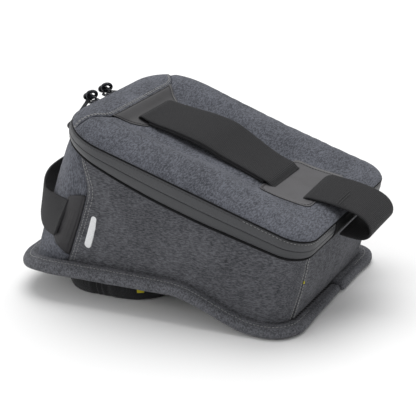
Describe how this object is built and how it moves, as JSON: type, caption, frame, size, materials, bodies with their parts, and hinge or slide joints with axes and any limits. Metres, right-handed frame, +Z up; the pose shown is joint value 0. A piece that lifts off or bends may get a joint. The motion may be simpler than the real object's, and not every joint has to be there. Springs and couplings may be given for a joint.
{
  "type": "motorcycle tank bag",
  "caption": "Wedge-shaped zipped motorcycle tank bag with a hinged padded lid, webbing carry handle, end grab handle, pull loop, padded skirt and a mounting boot.",
  "frame": {"origin": "on the ground under the middle of the bag's box", "axes": "+X towards the wide end, where the lid hinges and the pull loop is (the motorcycle's front); +Y across, away from the side that has been called near; +Z up"},
  "size_m": [0.3097, 0.1932, 0.1596],
  "materials": {
    "heather": "matt heather polyester, blue-grey, padded",
    "heather_dark": "matt heather polyester, dark neutral grey",
    "coated_fabric": "smooth coated fabric with a slight sheen",
    "webbing": "ribbed black polyester webbing",
    "patch_leather": "smooth dark synthetic leather",
    "piping": "thin black piping",
    "zip_tape": "woven zip tape with a nylon coil",
    "lining": "light grey plain-weave lining",
    "mesh": "black stretch mesh",
    "foam": "closed-cell foam",
    "board": "stiff plastic board",
    "grip_rubber": "textured anti-slip rubber",
    "reflective": "light reflective film",
    "slider_metal": "black painted die-cast metal",
    "pull_rubber": "moulded black rubber and cord",
    "boot_fabric": "black plain-weave fabric",
    "mount_plastic": "black moulded plastic",
    "tab_yellow": "yellow ribbon"
  },
  "bodies": {
    "shell": {"lower_gusset": "coated_fabric", "lower_zip": "zip_tape", "body_piping": "piping", "near_side_panel": "heather_dark", "far_side_panel": "heather_dark", "narrow_end_panel": "heather", "wide_end_panel": "heather_dark", "body_lining": "lining", "base_board": "board", "base_pad": "grip_rubber", "brim_near": "heather", "brim_far": "heather", "hinge_flap": "boot_fabric", "end_handle": "webbing", "end_patch_near": "patch_leather", "end_patch_far": "patch_leather", "reflector_near": "reflective", "reflector_far": "reflective", "boot_cover": "boot_fabric", "boot_core": "foam", "mount_plate": "mount_plastic", "release_tab": "tab_yellow"},
    "lid": {"lid_panel": "heather", "lid_yoke": "heather", "lid_piping": "piping", "lid_foam": "foam", "lid_lining": "lining", "lid_pocket": "mesh", "upper_gusset": "coated_fabric", "upper_zip": "zip_tape", "handle_patch_narrow": "patch_leather", "handle_patch_wide": "patch_leather", "carry_handle": "webbing", "pull_loop": "webbing"},
    "slider_near": {"slider_near": "slider_metal"},
    "slider_far": {"slider_far": "slider_metal"},
    "pull_near": {"pull_near": "pull_rubber"},
    "pull_far": {"pull_far": "pull_rubber"}
  },
  "joints": [
    {"name": "lid_hinge", "type": "hinge", "parent": "shell", "child": "lid", "pos_m": [0.12221, 0, 0.05632], "axis": [0, 1, 0], "range_deg": [0, 100]},
    {"name": "slider_near_travel", "type": "slide", "parent": "shell", "child": "slider_near", "axis": [0, -1, 0], "range_m": [0, 0.026]},
    {"name": "slider_far_travel", "type": "slide", "parent": "shell", "child": "slider_far", "axis": [0, 1, 0], "range_m": [0, 0.034]},
    {"name": "pull_near_swing", "type": "hinge", "parent": "slider_near", "child": "pull_near", "pos_m": [-0.10369, -0.016, 0.15616], "axis": [-0.3173, 0, -0.9483], "range_deg": [0, 95]},
    {"name": "pull_far_swing", "type": "hinge", "parent": "slider_far", "child": "pull_far", "pos_m": [-0.10369, 0.008, 0.15616], "axis": [0.3173, 0, 0.9483], "range_deg": [0, 95]}
  ]
}
